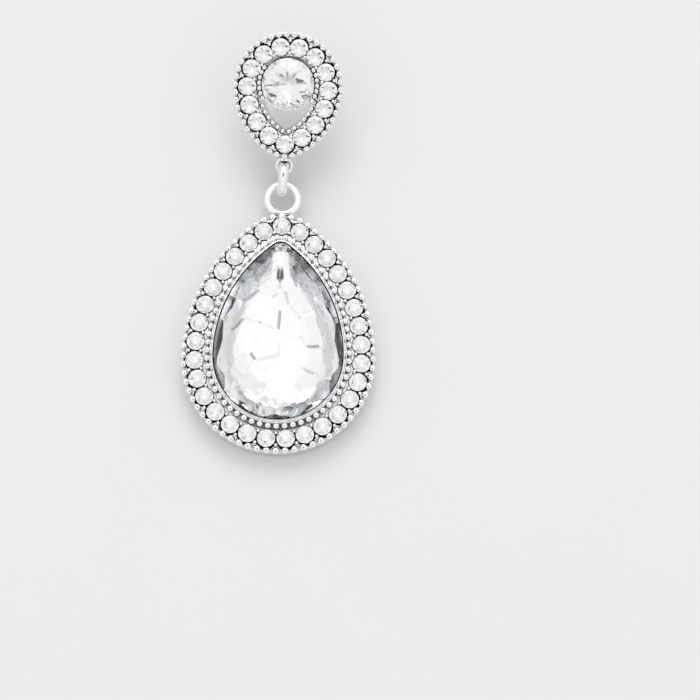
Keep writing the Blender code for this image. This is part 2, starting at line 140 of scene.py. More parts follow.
STUD_SECTION = (
    (-0.2, 0.0, 0), (-0.05, 0.05, 0), (0.0, 0.2, 0), (0.0, 1.8, 0), (-0.05, 1.95, 0), (-0.25, 2.05, 0),
    (-0.55, 2.12, 0), (-0.68, 2.3, 0), (-0.76, 2.48, 0), (-0.9, 2.54, 0), (-1.95, 2.54, 0),
    (-3.02, 2.54, 0), (-3.14, 2.46, 0), (-3.2, 2.2, 0), (-3.5, 2.1, 0), (-3.85, 2.05, 0),
    (-3.98, 1.9, 0), (-3.98, 0.1, 0), (-3.9, 0.0, 0), (-0.2, 0.0, 0),
)
COLLAR_PROFILE = ((0.8, 0.04), (0.9, 0.12), (0.9, 0.42), (0.8, 0.5), (0.7, 0.52), (0.7, 0.62), (0.95, 0.72),
                  (0.95, 1.1))
CUP_PROFILE = (
    (3.1, 0.05), (3.3, 0.2), (3.36, 0.5), (3.36, 2.15), (3.5, 2.4), (3.51, 2.62), (3.46, 2.67), (3.3, 2.6),
    (2.2, 1.9), (0.6, 1.5),
)


class EarringSizes(bpy.types.PropertyGroup):
    """Sizes of the fine work that the frame leaves plain."""

    outer_grain: FloatProperty(
        name="Outer grain", description="Radius of a grain on an outer edge",
        default=0.48 * MM, min=0.1 * MM, unit="LENGTH", precision=5)
    inner_grain: FloatProperty(
        name="Inner grain", description="Radius of a grain on the drop's inner edge",
        default=0.42 * MM, min=0.1 * MM, unit="LENGTH", precision=5)
    stud_grain: FloatProperty(
        name="Stud grain", description="Radius of a grain round the stud's window",
        default=0.3 * MM, min=0.1 * MM, unit="LENGTH", precision=5)
    rim_grain: FloatProperty(
        name="Rim grain", description="Radius of a grain beside the round crystal",
        default=0.32 * MM, min=0.1 * MM, unit="LENGTH", precision=5)
    prong: FloatProperty(
        name="Prong", description="Radius of a prong's round head",
        default=0.25 * MM, min=0.1 * MM, unit="LENGTH", precision=5)
    seat_gap: FloatProperty(
        name="Seat gap", description="Room between a small crystal and the edge of its drilled seat",
        default=0.19 * MM, min=0.02 * MM, unit="LENGTH", precision=5)
    seat_shift: FloatProperty(
        name="Seat shift", description="How far each drilled seat lies outward of its crystal",
        default=0.1 * MM, min=0.0, unit="LENGTH", precision=5)
    rib_relief: FloatProperty(
        name="Rib relief", description="How far the ribs of the drop's wall stand out",
        default=0.11 * MM, min=0.0, unit="LENGTH", precision=5)
    outer_pitch: FloatProperty(
        name="Outer pitch", description="Distance from one outer grain to the next",
        default=1.24 * MM, min=0.4 * MM, unit="LENGTH", precision=5)
    inner_pitch: FloatProperty(
        name="Inner pitch", description="Distance from one inner grain to the next",
        default=1.1 * MM, min=0.4 * MM, unit="LENGTH", precision=5)


class EarringFinish(bpy.types.PropertyGroup):
    """Colours and gloss of the metal and the crystal."""

    metal: FloatVectorProperty(
        name="Metal", description="Colour of the bright plating", subtype="COLOR",
        default=(0.93, 0.93, 0.935), min=0.0, max=1.0)
    metal_roughness: FloatProperty(
        name="Metal roughness", description="Roughness of the bright plating",
        default=0.17, min=0.0, max=1.0, subtype="FACTOR")
    # Painted shade: the near-black colour given to the seats round the crystals
    seat: FloatVectorProperty(
        name="Seat", description="Colour of the darkened seats round the crystals", subtype="COLOR",
        default=(0.004, 0.004, 0.0045), min=0.0, max=1.0)
    foil: FloatVectorProperty(
        name="Foil", description="Colour of the mirror foil behind the crystals", subtype="COLOR",
        default=(0.96, 0.965, 0.97), min=0.0, max=1.0)
    crystal_ior: FloatProperty(
        name="Crystal refraction", description="Index of refraction of the lead crystal",
        default=1.56, min=1.0, max=2.5)
    opening: FloatProperty(
        name="Tent opening", description="Half angle of the dark opening that the metal shows, in degrees",
        default=15.0, min=1.0, max=60.0)
    crystal_opening: FloatProperty(
        name="Crystal opening", description="Half angle of the dark opening that the crystals show, in degrees",
        default=6.5, min=1.0, max=60.0)
    floor: FloatVectorProperty(
        name="Floor", description="Colour of the floor", subtype="COLOR",
        default=(0.79, 0.79, 0.79), min=0.0, max=1.0)


class Pear:
    """A teardrop outline of tangent arcs: a round end about the origin, two long sides and a round tip."""

    def __init__(self, width, length, tip_radius, heading):
        self.round_radius = width / 2
        self.tip_radius = tip_radius
        self.tip_centre = length - self.round_radius - tip_radius
        spread = self.round_radius - tip_radius
        self.side_radius = (self.tip_centre**2 + self.round_radius**2 - tip_radius**2) / (2 * spread)
        self.side_centre = self.round_radius - self.side_radius
        self.tip_turn = math.atan2(self.tip_centre, -self.side_centre)
        self.heading = heading

    def arcs(self, offset):
        """The right half from the tip down, each arc as centre, radius, first angle and last angle."""
        return (
            (Vector((0, self.tip_centre)), self.tip_radius + offset, math.pi / 2, self.tip_turn),
            (Vector((self.side_centre, 0)), self.side_radius + offset, self.tip_turn, 0),
            (Vector((0, 0)), self.round_radius + offset, 0, -math.pi / 2),
        )

    def length(self, offset):
        return 2 * sum(radius * (first - last) for _, radius, first, last in self.arcs(offset))

    def place(self, offset, share):
        """The point and outward normal at a share of the way round from the tip."""
        length = self.length(offset)
        run = (share % 1.0) * length
        side = 1
        if run > length / 2:
            run = length - run
            side = -1
        for centre, radius, first, last in self.arcs(offset):
            arc = radius * (first - last)
            if run <= arc:
                break
            run -= arc
        else:
            run = arc
        angle = first - run / radius
        normal = Vector((math.cos(angle), math.sin(angle)))
        point = centre + radius * normal
        mirror = Vector((side * self.heading, self.heading))
        return point * mirror, normal * mirror


class Round:
    """A round outline about the origin."""

    def __init__(self, diameter):
        self.radius = diameter / 2

    def place(self, offset, share):
        turn = 2 * math.pi * share
        normal = Vector((math.sin(turn), math.cos(turn)))
        return normal * (self.radius + offset), normal


PEAR = Pear(PEAR_WIDTH, PEAR_LENGTH, PEAR_TIP_RADIUS, 1)
STUD = Pear(STUD_WIDTH, STUD_LENGTH, STUD_TIP_RADIUS, -1)


def begin():
    """Return to object mode with nothing selected."""
    if bpy.context.object and bpy.context.object.mode != "OBJECT":
        bpy.ops.object.mode_set(mode="OBJECT")
    bpy.ops.object.select_all(action="DESELECT")


def named(name):
    """Give the newest object and its mesh a name."""
    body = bpy.context.object
    body.name = name
    body.data.name = name
    return body


def only(body):
    """Make an object the one that is selected and active."""
    begin()
    body.select_set(True)
    bpy.context.view_layer.objects.active = body


def edit_all(body):
    """Open an object in edit mode with everything selected."""
    only(body)
    bpy.ops.object.mode_set(mode="EDIT")
    bpy.ops.mesh.select_mode(type="VERT")
    bpy.ops.mesh.select_all(action="SELECT")


def tidy_normals(body):
    """Merge doubles, then turn every face outwards."""
    edit_all(body)
    bpy.ops.mesh.remove_doubles(threshold=1e-7)
    bpy.ops.mesh.normals_make_consistent(inside=False)
    bpy.ops.object.mode_set(mode="OBJECT")


def smooth(body, angle=35):
    only(body)
    bpy.ops.object.shade_smooth_by_angle(angle=math.radians(angle))


def settle(body, place):
    """Move a piece to its place and leave the place in its mesh."""
    only(body)
    body.matrix_world = place
    bpy.ops.object.transform_apply(location=True, rotation=True, scale=True)


def finish_piece(body, slot, *nodes):
    """Let a piece ride with the earring and hide the imported nodes that it stands for; the slot is not used."""
    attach(body, BODY)
    if nodes:
        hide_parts(*nodes)


def swept(name, outline, base, columns, sections, closed, ribs=0, relief=0.0):
    """Extrude a ring round an outline through its sections, with so many ribs on its wall.

    The columns are spread evenly along the outline at the base offset.
    """
    begin()
    bpy.ops.mesh.primitive_circle_add(vertices=columns, radius=outline.round_radius)
    body = named(name)
    shares = body.data.attributes.new("share", "FLOAT", "POINT")
    shares.data.foreach_set("value", [index / columns for index in range(columns)])
    edit_all(body)
    stations = {}
    for index, (offset, height, share_of_relief) in enumerate(sections):
        if index:
            bpy.ops.mesh.extrude_region()
        ring = bmesh.from_edit_mesh(body.data)
        layer = ring.verts.layers.float["share"]
        for vertex in ring.verts:
            if vertex.select:
                share = round(vertex[layer] * columns) / columns
                if share not in stations:
                    stations[share] = outline.place(base, share)
                point, normal = stations[share]
                wave = relief * share_of_relief * math.cos(2 * math.pi * ribs * share)
                reach = offset * MM + wave - base
                vertex.co = (point + normal * reach).to_3d() + Vector((0, 0, height * MM))
        bmesh.update_edit_mesh(body.data)
    if not closed:
        bpy.ops.mesh.select_all(action="SELECT")
        bpy.ops.mesh.fill_holes(sides=0)
    tidy_normals(body)
    return body


def turned(name, sides, radius, height, profile):
    """Draw a disc through a profile of radii and heights in millimetres."""
    begin()
    bpy.ops.mesh.primitive_circle_add(vertices=sides, radius=radius * MM, fill_type="NGON",
                                      location=(0, 0, height * MM))
    body = named(name)
    bpy.ops.object.transform_apply(location=True)
    edit_all(body)
    for reach, level in profile:
        bpy.ops.mesh.extrude_region()
        bpy.ops.transform.resize(value=(reach / radius, reach / radius, 1))
        bpy.ops.transform.translate(value=(0, 0, (level - height) * MM))
        radius = reach
        height = level
    bpy.ops.object.mode_set(mode="OBJECT")
    tidy_normals(body)
    return body


def copies_along(master, name, places):
    """Copy a master to each place, join the copies into one piece and delete the master."""
    copies = []
    for place in places:
        copy = master.copy()
        copy.data = master.data.copy()
        copy.data.transform(place)
        bpy.context.collection.objects.link(copy)
        copies.append(copy)
    bpy.data.objects.remove(master, do_unlink=True)
    begin()
    for copy in copies:
        copy.select_set(True)
    bpy.context.view_layer.objects.active = copies[0]
    bpy.ops.object.join()
    return named(name)


def standing(point, normal, height, turn=0.0):
    """A place on an outline, with a shape's +Y laid along the outward normal."""
    heading = math.atan2(-normal.x, normal.y) + turn
    return Matrix.Translation(point.to_3d() + Vector((0, 0, height))) @ Matrix.Rotation(heading, 4, "Z")


def grain_master(radius, squat=0.65):
    """A round grain that sits a little sunk in its edge."""
    begin()
    bpy.ops.mesh.primitive_ico_sphere_add(subdivisions=3, radius=radius)
    grain = named("grain")
    edit_all(grain)
    bpy.ops.transform.resize(value=(1, 1, squat))
    bpy.ops.object.mode_set(mode="OBJECT")
    bpy.ops.object.shade_smooth()
    return grain


def cut_with(body, cutter):
    """Cut one piece with another, which is used up. The cut faces keep the cutter's finish."""
    only(body)
    cut = body.modifiers.new("cut", "BOOLEAN")
    cut.operation = "DIFFERENCE"
    cut.solver = "EXACT"
    cut.use_self = True
    cut.material_mode = "TRANSFER"
    cut.object = cutter
    bpy.ops.object.modifier_apply(modifier="cut")
    bpy.data.objects.remove(cutter, do_unlink=True)


def cut_plane(point, normal):
    """Saw off what lies beyond a plane and close the cut."""
    bpy.ops.mesh.select_all(action="SELECT")
    bpy.ops.mesh.bisect(plane_co=point, plane_no=normal, use_fill=True, clear_outer=True, threshold=1e-8)


def soften(stone, lowest, highest, width):
    """Take the edge off the facets that lie between two heights."""
    edit_all(stone)
    bpy.ops.mesh.select_mode(type="EDGE")
    bpy.ops.mesh.select_all(action="DESELECT")
    mesh = bmesh.from_edit_mesh(stone.data)
    for edge in mesh.edges:
        edge.select = all(lowest < vertex.co.z < highest for vertex in edge.verts)
    bmesh.update_edit_mesh(stone.data)
    bpy.ops.mesh.bevel(offset=width, affect="EDGES")
    bpy.ops.object.mode_set(mode="OBJECT")
    tidy_normals(stone)


def cut_crystal(name, outline, level, girdle, crown, pavilion, cuts, polish, slivers):
    """Cut a rough prism of the outline facet by facet.

    Each cut is its number of facets, its turn as a share of one facet, its slope in degrees, whether it
    is above the girdle, and how far inside the girdle its plane starts and at which height.
    """
    rim = 96 if isinstance(outline, Pear) else 48
    begin()
    bpy.ops.mesh.primitive_circle_add(vertices=rim, radius=1.0, fill_type="NGON")
    stone = named(name)
    for vertex in stone.data.vertices:
        point, _ = outline.place(0.0, vertex.index / rim)
        vertex.co = point.to_3d() + Vector((0, 0, level - pavilion))
    edit_all(stone)
    bpy.ops.mesh.extrude_region_move(
        TRANSFORM_OT_translate={"value": (0, 0, pavilion + girdle + crown)})
    for facets, turn, slope, above, inward, lift in cuts:
        tilt = math.radians(slope)
        side = 1 if above else -1
        edge = level + girdle + lift if above else level - lift
        for index in range(facets):
            point, normal = outline.place(-inward, (index + turn) / facets)
            facing = (normal * math.sin(tilt)).to_3d() + Vector((0, 0, side * math.cos(tilt)))
            cut_plane(point.to_3d() + Vector((0, 0, edge)), facing)
    tidy_normals(stone)
    soften(stone, level + girdle + polish, level + girdle + 2 * crown, polish)
    soften(stone, level - 2 * pavilion, level - slivers, slivers)
    stone.data.materials.append(bpy.data.materials["clear_crystal"])
    stone.data.materials.append(bpy.data.materials["mirror_foil"])
    # Painted reflection: each foil facet gets its own darkness, standing in for the dark surroundings that the
    # facets mirror; small facets can go darkest
    painted_reflection = stone.data.attributes.new("painted_reflection", "FLOAT", "FACE")
    foiled = [face for face in stone.data.polygons if face.normal.z < 0.1]
    middling = sum(face.area for face in foiled) / len(foiled)
    for face in foiled:
        face.material_index = 1
        share = (face.index * 0.618034) % 1.0
        painted_reflection.data[face.index].value = share if face.area < middling else 0.55 + 0.45 * share
    return stone


def nodes_of(name):
    """A new material with its node tree emptied but for the shader and the output."""
    finish = bpy.data.materials.new(name)
    finish.use_nodes = True
    tree = finish.node_tree
    return finish, tree, tree.nodes["Principled BSDF"]


def noise_on(tree, scale, detail=2.0):
    """Noise on Object coordinates, at so many waves to the metre."""
    place = tree.nodes.new("ShaderNodeTexCoord")
    noise = tree.nodes.new("ShaderNodeTexNoise")
    noise.inputs["Scale"].default_value = scale
    noise.inputs["Detail"].default_value = detail
    tree.links.new(place.outputs["Object"], noise.inputs["Vector"])
    return noise


def spread(tree, source, low, high):
    """Stretch a source's middle range between two values."""
    reach = tree.nodes.new("ShaderNodeMapRange")
    reach.inputs["From Min"].default_value = 0.3
    reach.inputs["From Max"].default_value = 0.7
    reach.inputs["To Min"].default_value = low
    reach.inputs["To Max"].default_value = high
    tree.links.new(source, reach.inputs["Value"])
    return reach.outputs["Result"]


def bump_from(tree, shader, source, strength, distance):
    bump = tree.nodes.new("ShaderNodeBump")
    bump.inputs["Strength"].default_value = strength
    bump.inputs["Distance"].default_value = distance
    tree.links.new(source, bump.inputs["Height"])
    tree.links.new(bump.outputs["Normal"], shader.inputs["Normal"])


def plated_metal(name, colour, roughness, grain, strength, shade_reach):
    """Bright plating: painted shade that darkens its colour in the crevices, faint waves from the polish and a fine
    cast grain.
    """
    finish, tree, shader = nodes_of(name)
    shader.inputs["Metallic"].default_value = 1.0
    # Painted shade: the colour falls towards near-black where occlusion finds close surfaces
    painted_crevice_shade = tree.nodes.new("ShaderNodeAmbientOcclusion")
    painted_crevice_shade.inputs["Distance"].default_value = shade_reach
    painted_crevice_shade.samples = 6
    ramp = tree.nodes.new("ShaderNodeValToRGB")
    ramp.color_ramp.elements[0].position = 0.32
    ramp.color_ramp.elements[0].color = (0.03, 0.03, 0.032, 1)
    ramp.color_ramp.elements[1].position = 0.84
    ramp.color_ramp.elements[1].color = (*colour, 1)
    tree.links.new(painted_crevice_shade.outputs["AO"], ramp.inputs["Fac"])
    tree.links.new(ramp.outputs["Color"], shader.inputs["Base Color"])
    polish = noise_on(tree, 900.0)
    tree.links.new(spread(tree, polish.outputs["Fac"], roughness * 0.75, roughness * 1.3),
                   shader.inputs["Roughness"])
    cast = noise_on(tree, grain, 4.0)
    bump_from(tree, shader, cast.outputs["Fac"], strength, 0.02 * MM)
    return finish


def make_finishes(look):
    """The finishes of the earring's metal, the painted shade of its seats, the crystal and the foil."""
    # Each metal gets painted shade in its crevices, out to the last distance given; the lightly shaded one reaches
    # only 0.1 mm
    plated_metal("polished_rhodium", look.metal, look.metal_roughness, 2600.0, 0.08, 0.5 * MM)
    plated_metal("cast_rhodium", look.metal, look.metal_roughness * 1.5, 5200.0, 0.3, 0.45 * MM)
    plated_metal("lightly_shaded_rhodium", look.metal, look.metal_roughness, 2600.0, 0.06, 0.1 * MM)

    # Painted shade: a near-black, faintly mottled finish for the drilled seats and lips, where shade falls round
    # the crystals
    _, tree, shader = nodes_of("painted_seat_shade")
    shader.inputs["Specular IOR Level"].default_value = 0.08
    shader.inputs["Roughness"].default_value = 0.6
    shade_mottle = noise_on(tree, 4000.0)
    tint = tree.nodes.new("ShaderNodeMix")
    tint.data_type = "RGBA"
    tint.inputs["A"].default_value = (*look.seat, 1)
    tint.inputs["B"].default_value = (*(min(1.0, part * 4) for part in look.seat), 1)
    tree.links.new(shade_mottle.outputs["Fac"], tint.inputs["Factor"])
    tree.links.new(tint.outputs["Result"], shader.inputs["Base Color"])

    _, tree, shader = nodes_of("clear_crystal")
    shader.inputs["Base Color"].default_value = (1.0, 1.0, 1.0, 1)
    shader.inputs["Transmission Weight"].default_value = 1.0
    shader.inputs["IOR"].default_value = look.crystal_ior
    haze = noise_on(tree, 700.0)
    tree.links.new(spread(tree, haze.outputs["Fac"], 0.0, 0.015), shader.inputs["Roughness"])

    _, tree, shader = nodes_of("mirror_foil")
    shader.inputs["Metallic"].default_value = 1.0
    # Painted reflection: the facets' darkness value runs the foil colour from dark through silvered to full
    painted_reflection = tree.nodes.new("ShaderNodeAttribute")
    painted_reflection.attribute_name = "painted_reflection"
    ramp = tree.nodes.new("ShaderNodeValToRGB")
    ramp.color_ramp.elements[0].position = 0.0
    ramp.color_ramp.elements[0].color = (*(part * 0.4 for part in look.foil), 1)
    ramp.color_ramp.elements[1].position = 1.0
    ramp.color_ramp.elements[1].color = (*look.foil, 1)
    silvered = ramp.color_ramp.elements.new(0.2)
    silvered.color = (*(part * 0.85 for part in look.foil), 1)
    tree.links.new(painted_reflection.outputs["Fac"], ramp.inputs["Fac"])
    tree.links.new(ramp.outputs["Color"], shader.inputs["Base Color"])
    crinkle = noise_on(tree, 1200.0)
    tree.links.new(spread(tree, crinkle.outputs["Fac"], 0.02, 0.09), shader.inputs["Roughness"])


class EARRING_OT_finishes(bpy.types.Operator):
    """Mix the finishes of the metal, the painted shade of the seats, the crystal and the foil"""

    bl_idname = "earring.finishes"
    bl_label = "Finishes"

    def execute(self, context):
        make_finishes(context.scene.earring_finish)
        return {"FINISHED"}


def clad(body, *finishes):
    """Give a piece its finishes, in slot order."""
    body.data.materials.clear()
    for finish in finishes:
        body.data.materials.append(bpy.data.materials[finish])


def grain_count(outline, offset, pitch):
    return round(outline.length(offset) / pitch)


def set_grains(name, outline, row, radius, pitch, start, place, clear_of=0.0):
    """Set a row of grains along an outline, but for those that the round crystal covers."""
    offset, height = row
    count = grain_count(outline, offset, pitch)
    places = []
    for index in range(count):
        point, normal = outline.place(offset, (index + start) / count)
        if not clear_of or (point - Vector((0, ROUND_RISE))).length > clear_of:
            places.append(standing(point, normal, height))
    row = copies_along(grain_master(radius), name, places)
    clad(row, "polished_rhodium")
    settle(row, place)
    finish_piece(row, "silver")


def seat_cutter(outline, row, count, bottom, top, radius, shift):
    """Drills for the seats of a row of small crystals; their cut walls and floors carry painted shade."""
    begin()
    bpy.ops.mesh.primitive_cylinder_add(vertices=28, radius=radius, depth=top - bottom,
                                        location=(0, 0, (top + bottom) / 2))
    drill = named("drill")
    bpy.ops.object.transform_apply(location=True)
    clad(drill, "painted_seat_shade")
    places = []
    for index in range(count):
        point, normal = outline.place(row, index / count)
        places.append(standing(point + normal * shift, normal, 0.0))
    return copies_along(drill, "drills", places)


class EARRING_OT_drop_setting(bpy.types.Operator):
    """Sweep the drop's cast halo round the pear outline and drill its seats"""

    bl_idname = "earring.drop_setting"
    bl_label = "Drop Setting"

    def execute(self, context):
        sizes = context.scene.earring_sizes
        ribs = grain_count(PEAR, DROP_OUTER_GRAINS[0], sizes.outer_pitch)
        body = swept("drop_setting", PEAR, DROP_OUTER_GRAINS[0], ribs * 6, DROP_SECTION, closed=False,
                     ribs=ribs, relief=sizes.rib_relief)
        clad(body, "cast_rhodium", "polished_rhodium", "painted_seat_shade")
        radius = SMALL_STONE / 2 + sizes.seat_gap
        cutter = seat_cutter(PEAR, DROP_ROW, DROP_STONES, SEAT_FLOOR, 3.4 * MM, radius, sizes.seat_shift)
        cut_with(body, cutter)
        # Painted shade: inward faces above the lip's foot take the dark seat finish where the lip overhangs the
        # pear crystal
        for face in body.data.polygons:
            point = face.center
            inward = face.normal.xy.dot(point.xy) < 0
            if inward and point.z > LIP_FOOT:
                face.material_index = 2
            elif face.material_index == 0 and (point.z > POLISHED_ABOVE or point.z < POLISHED_BELOW):
                face.material_index = 1
        smooth(body)
        settle(body, DROP_PLACE)
        finish_piece(body, "silver", "drop_frame")
        return {"FINISHED"}


class EARRING_OT_drop_grains(bpy.types.Operator):
    """Set the drop's rows of grains and the prongs between its crystals"""

    bl_idname = "earring.drop_grains"
    bl_label = "Drop Grains and Prongs"

    def execute(self, context):
        sizes = context.scene.earring_sizes
        set_grains("drop_outer_grains", PEAR, DROP_OUTER_GRAINS, sizes.outer_grain, sizes.outer_pitch, 0.0,
                   DROP_PLACE)
        set_grains("drop_inner_grains", PEAR, DROP_INNER_GRAINS, sizes.inner_grain, sizes.inner_pitch, 0.5,
                   DROP_PLACE)

        places = []
        for index in range(DROP_STONES):
            for reach in (-0.8 * MM, 0.82 * MM):
                point, normal = PEAR.place(DROP_ROW, (index + 0.5) / DROP_STONES)
                places.append(standing(point + normal * reach, normal, DROP_TOP + 0.16 * MM))
        prongs = copies_along(grain_master(sizes.prong, squat=1.2), "drop_prongs", places)
        clad(prongs, "polished_rhodium")
        settle(prongs, DROP_PLACE)
        finish_piece(prongs, "silver")
        return {"FINISHED"}


class EARRING_OT_pear_crystal(bpy.types.Operator):
    """Cut the large pear crystal"""

    bl_idname = "earring.pear_crystal"
    bl_label = "Pear Crystal"

    def execute(self, context):
        cuts = (
            (12, 0.0, 26.0, True, 0.0, 0.0),
            (24, 0.5, 33.0, True, 0.0, 0.0),
            (12, 0.5, 18.0, True, 1.75 * MM, 1.0 * MM),
            (14, 0.3, 11.0, False, 0.0, 0.0),
            (28, 0.8, 14.5, False, 0.0, 0.0),
            (11, 0.4, 8.5, False, 2.6 * MM, 0.54 * MM),
            (7, 0.2, 5.0, False, 5.2 * MM, 0.95 * MM),
        )
        stone = cut_crystal("pear_crystal", PEAR, PEAR_GIRDLE_FOOT, PEAR_GIRDLE, PEAR_CROWN, PEAR_PAVILION, cuts,
                            polish=0.05 * MM, slivers=0.22 * MM)
        settle(stone, DROP_PLACE)
        finish_piece(stone, "crystal", "pear_stone")
        return {"FINISHED"}


def small_crystal():
    """A small round crystal about its own axis, with its girdle's underside at zero."""
    cuts = (
        (8, 0.0, 34.0, True, 0.0, 0.0),
        (16, 0.5, 43.0, True, 0.0, 0.0),
        (8, 0.5, 24.0, True, 0.32 * MM, 0.24 * MM),
        (8, 0.2, 18.5, False, 0.0, 0.0),
        (16, 0.7, 26.0, False, 0.0, 0.0),
    )
    return cut_crystal("small_crystal", Round(SMALL_STONE), 0.0, SMALL_GIRDLE, SMALL_CROWN, SMALL_PAVILION, cuts,
                       polish=0.01 * MM, slivers=0.04 * MM)


def set_row(name, outline, row, count, level, place, node):
    """Set a row of small crystals, each a piece of its own and each turned its own way."""
    master = small_crystal()
    for index in range(count):
        point, normal = outline.place(row, index / count)
        stone = master.copy()
        stone.data = master.data.copy()
        stone.name = f"{name}_{index + 1:02d}"
        stone.data.name = stone.name
        stone.data.transform(place @ standing(point, normal, level, turn=index * 0.73))
        bpy.context.collection.objects.link(stone)
        if node:
            finish_piece(stone, "crystal", f"{node}_{index + 1:02d}")
        else:
            finish_piece(stone, "crystal")
    bpy.data.objects.remove(master, do_unlink=True)


class EARRING_OT_drop_crystals(bpy.types.Operator):
    """Set the drop's row of small crystals"""

    bl_idname = "earring.drop_crystals"
    bl_label = "Drop Crystals"

    def execute(self, context):
        set_row("drop_crystal", PEAR, DROP_ROW, DROP_STONES, DROP_STONE_LEVEL, DROP_PLACE, "drop_stone")
        return {"FINISHED"}


class EARRING_OT_tip_ring(bpy.types.Operator):
    """Turn the ring on the drop's tip"""

    bl_idname = "earring.tip_ring"
    bl_label = "Tip Ring"

    def execute(self, context):
        begin()
        bpy.ops.mesh.primitive_torus_add(major_radius=RING_MEAN, minor_radius=RING_WIRE / 2,
                                         major_segments=64, minor_segments=20)
        ring = named("tip_ring")
        edit_all(ring)
        bpy.ops.transform.resize(value=(1, 1, 0.92))
        bpy.ops.object.mode_set(mode="OBJECT")
        bpy.ops.object.shade_smooth()
        clad(ring, "lightly_shaded_rhodium")
        settle(ring, Matrix.Translation(RING_CENTRE))
        finish_piece(ring, "silver")
        return {"FINISHED"}


class EARRING_OT_link(bpy.types.Operator):
    """Bend the thick oval link"""

    bl_idname = "earring.link"
    bl_label = "Link"

    def execute(self, context):
        begin()
        bpy.ops.mesh.primitive_torus_add(major_radius=LINK_END, minor_radius=LINK_WIRE / 2,
                                         major_segments=48, minor_segments=24)
        link = named("link")
        edit_all(link)
        half_step = math.pi / 48
        bpy.ops.transform.rotate(value=half_step, orient_axis="Z", center_override=(0, 0, 0))
        for side in (1, -1):
            bpy.ops.mesh.select_all(action="DESELECT")
            wire = bmesh.from_edit_mesh(link.data)
            for vertex in wire.verts:
                if vertex.co.y * side > 0:
                    vertex.select = True
            wire.select_flush(True)
            bmesh.update_edit_mesh(link.data)
            bpy.ops.transform.translate(value=(0, side * LINK_STRAIGHT / 2, 0))
        bpy.ops.object.mode_set(mode="OBJECT")
        bpy.ops.object.shade_smooth()
        clad(link, "lightly_shaded_rhodium")
        lean = Matrix.Rotation(-LINK_TURN, 4, "Z") @ Matrix.Rotation(LINK_SLOPE, 4, "X")
        settle(link, Matrix.Translation(LINK_CENTRE) @ lean @ Matrix.Rotation(math.pi / 2, 4, "Y"))
        finish_piece(link, "silver", "jump_ring")
        return {"FINISHED"}


class EARRING_OT_stud_setting(bpy.types.Operator):
    """Sweep the stud's cast halo, drill its seats and turn the round crystal's cup"""

    bl_idname = "earring.stud_setting"
    bl_label = "Stud Setting"

    def execute(self, context):
        sizes = context.scene.earring_sizes
        columns = grain_count(STUD, STUD_ROW, sizes.outer_pitch) * 4
        body = swept("stud_setting", STUD, STUD_ROW, columns, STUD_SECTION, closed=True)
        clad(body, "cast_rhodium", "polished_rhodium", "painted_seat_shade")
        radius = SMALL_STONE / 2 + sizes.seat_gap
        cutter = seat_cutter(STUD, STUD_ROW, STUD_STONES, 1.5 * MM, 3.0 * MM, radius, sizes.seat_shift)
        cut_with(body, cutter)
        # The wider second cut leaves painted shade: its walls beside the round crystal take the dark seat finish as
        # two crescents
        for room, finish, sides in ((0.03 * MM, "polished_rhodium", ()),
                                    (0.2 * MM, "painted_seat_shade", (2.3 * MM, -2.6 * MM))):
            begin()
            bpy.ops.mesh.primitive_cylinder_add(vertices=64, radius=ROUND_STONE / 2 + room, depth=2 * MM,
                                                location=(0, 0, 2.8 * MM))
            relief = named("relief")
            edit_all(relief)
            for reach in sides:
                cut_plane((0, reach, 0), (0, math.copysign(1, reach), 0))
            bpy.ops.object.mode_set(mode="OBJECT")
            settle(relief, Matrix.Translation((0, ROUND_RISE, 0)) @ relief.matrix_world)
            clad(relief, finish)
            cut_with(body, relief)
        smooth(body)
        settle(body, STUD_PLACE)
        finish_piece(body, "silver", "stud_frame")

        cup = turned("stud_cup", 72, 1.0, 0.0, CUP_PROFILE)
        smooth(cup)
        clad(cup, "lightly_shaded_rhodium")
        settle(cup, STUD_PLACE @ Matrix.Translation((0, ROUND_RISE, 0)))
        finish_piece(cup, "silver")
        return {"FINISHED"}


class EARRING_OT_stud_grains(bpy.types.Operator):
    """Set the stud's rows of grains and the prongs between its crystals"""

    bl_idname = "earring.stud_grains"
    bl_label = "Stud Grains and Prongs"

    def execute(self, context):
        sizes = context.scene.earring_sizes
        set_grains("stud_outer_grains", STUD, STUD_OUTER_GRAINS, sizes.outer_grain * 0.88, sizes.outer_pitch * 0.85,
                   0.0, STUD_PLACE)
        round_edge = ROUND_STONE / 2 + sizes.stud_grain + sizes.rim_grain * 1.2
        set_grains("stud_inner_grains", STUD, STUD_INNER_GRAINS, sizes.stud_grain, sizes.inner_pitch * 0.8,
                   0.5, STUD_PLACE, clear_of=round_edge)
        places = []
        reach = ROUND_STONE / 2 + sizes.rim_grain + 0.03 * MM
        for side in (0, math.pi):
            for index in range(RIM_GRAINS):
                turn = side + (index - (RIM_GRAINS - 1) / 2) * RIM_GRAIN_STEP
                places.append(Matrix.Translation((reach * math.cos(turn), ROUND_RISE + reach * math.sin(turn),
                                                  STUD_TOP)))
        rim = copies_along(grain_master(sizes.rim_grain), "stud_rim_grains", places)
        clad(rim, "polished_rhodium")
        settle(rim, STUD_PLACE)
        finish_piece(rim, "silver")

        places = []
        for index in range(STUD_STONES):
            for reach in (-0.82 * MM, 0.82 * MM):
                point, normal = STUD.place(STUD_ROW, (index + 0.5) / STUD_STONES)
                places.append(standing(point + normal * reach, normal, STUD_TOP + 0.06 * MM))
        prongs = copies_along(grain_master(sizes.prong, squat=1.2), "stud_prongs", places)
        clad(prongs, "polished_rhodium")
        settle(prongs, STUD_PLACE)
        finish_piece(prongs, "silver")
        return {"FINISHED"}


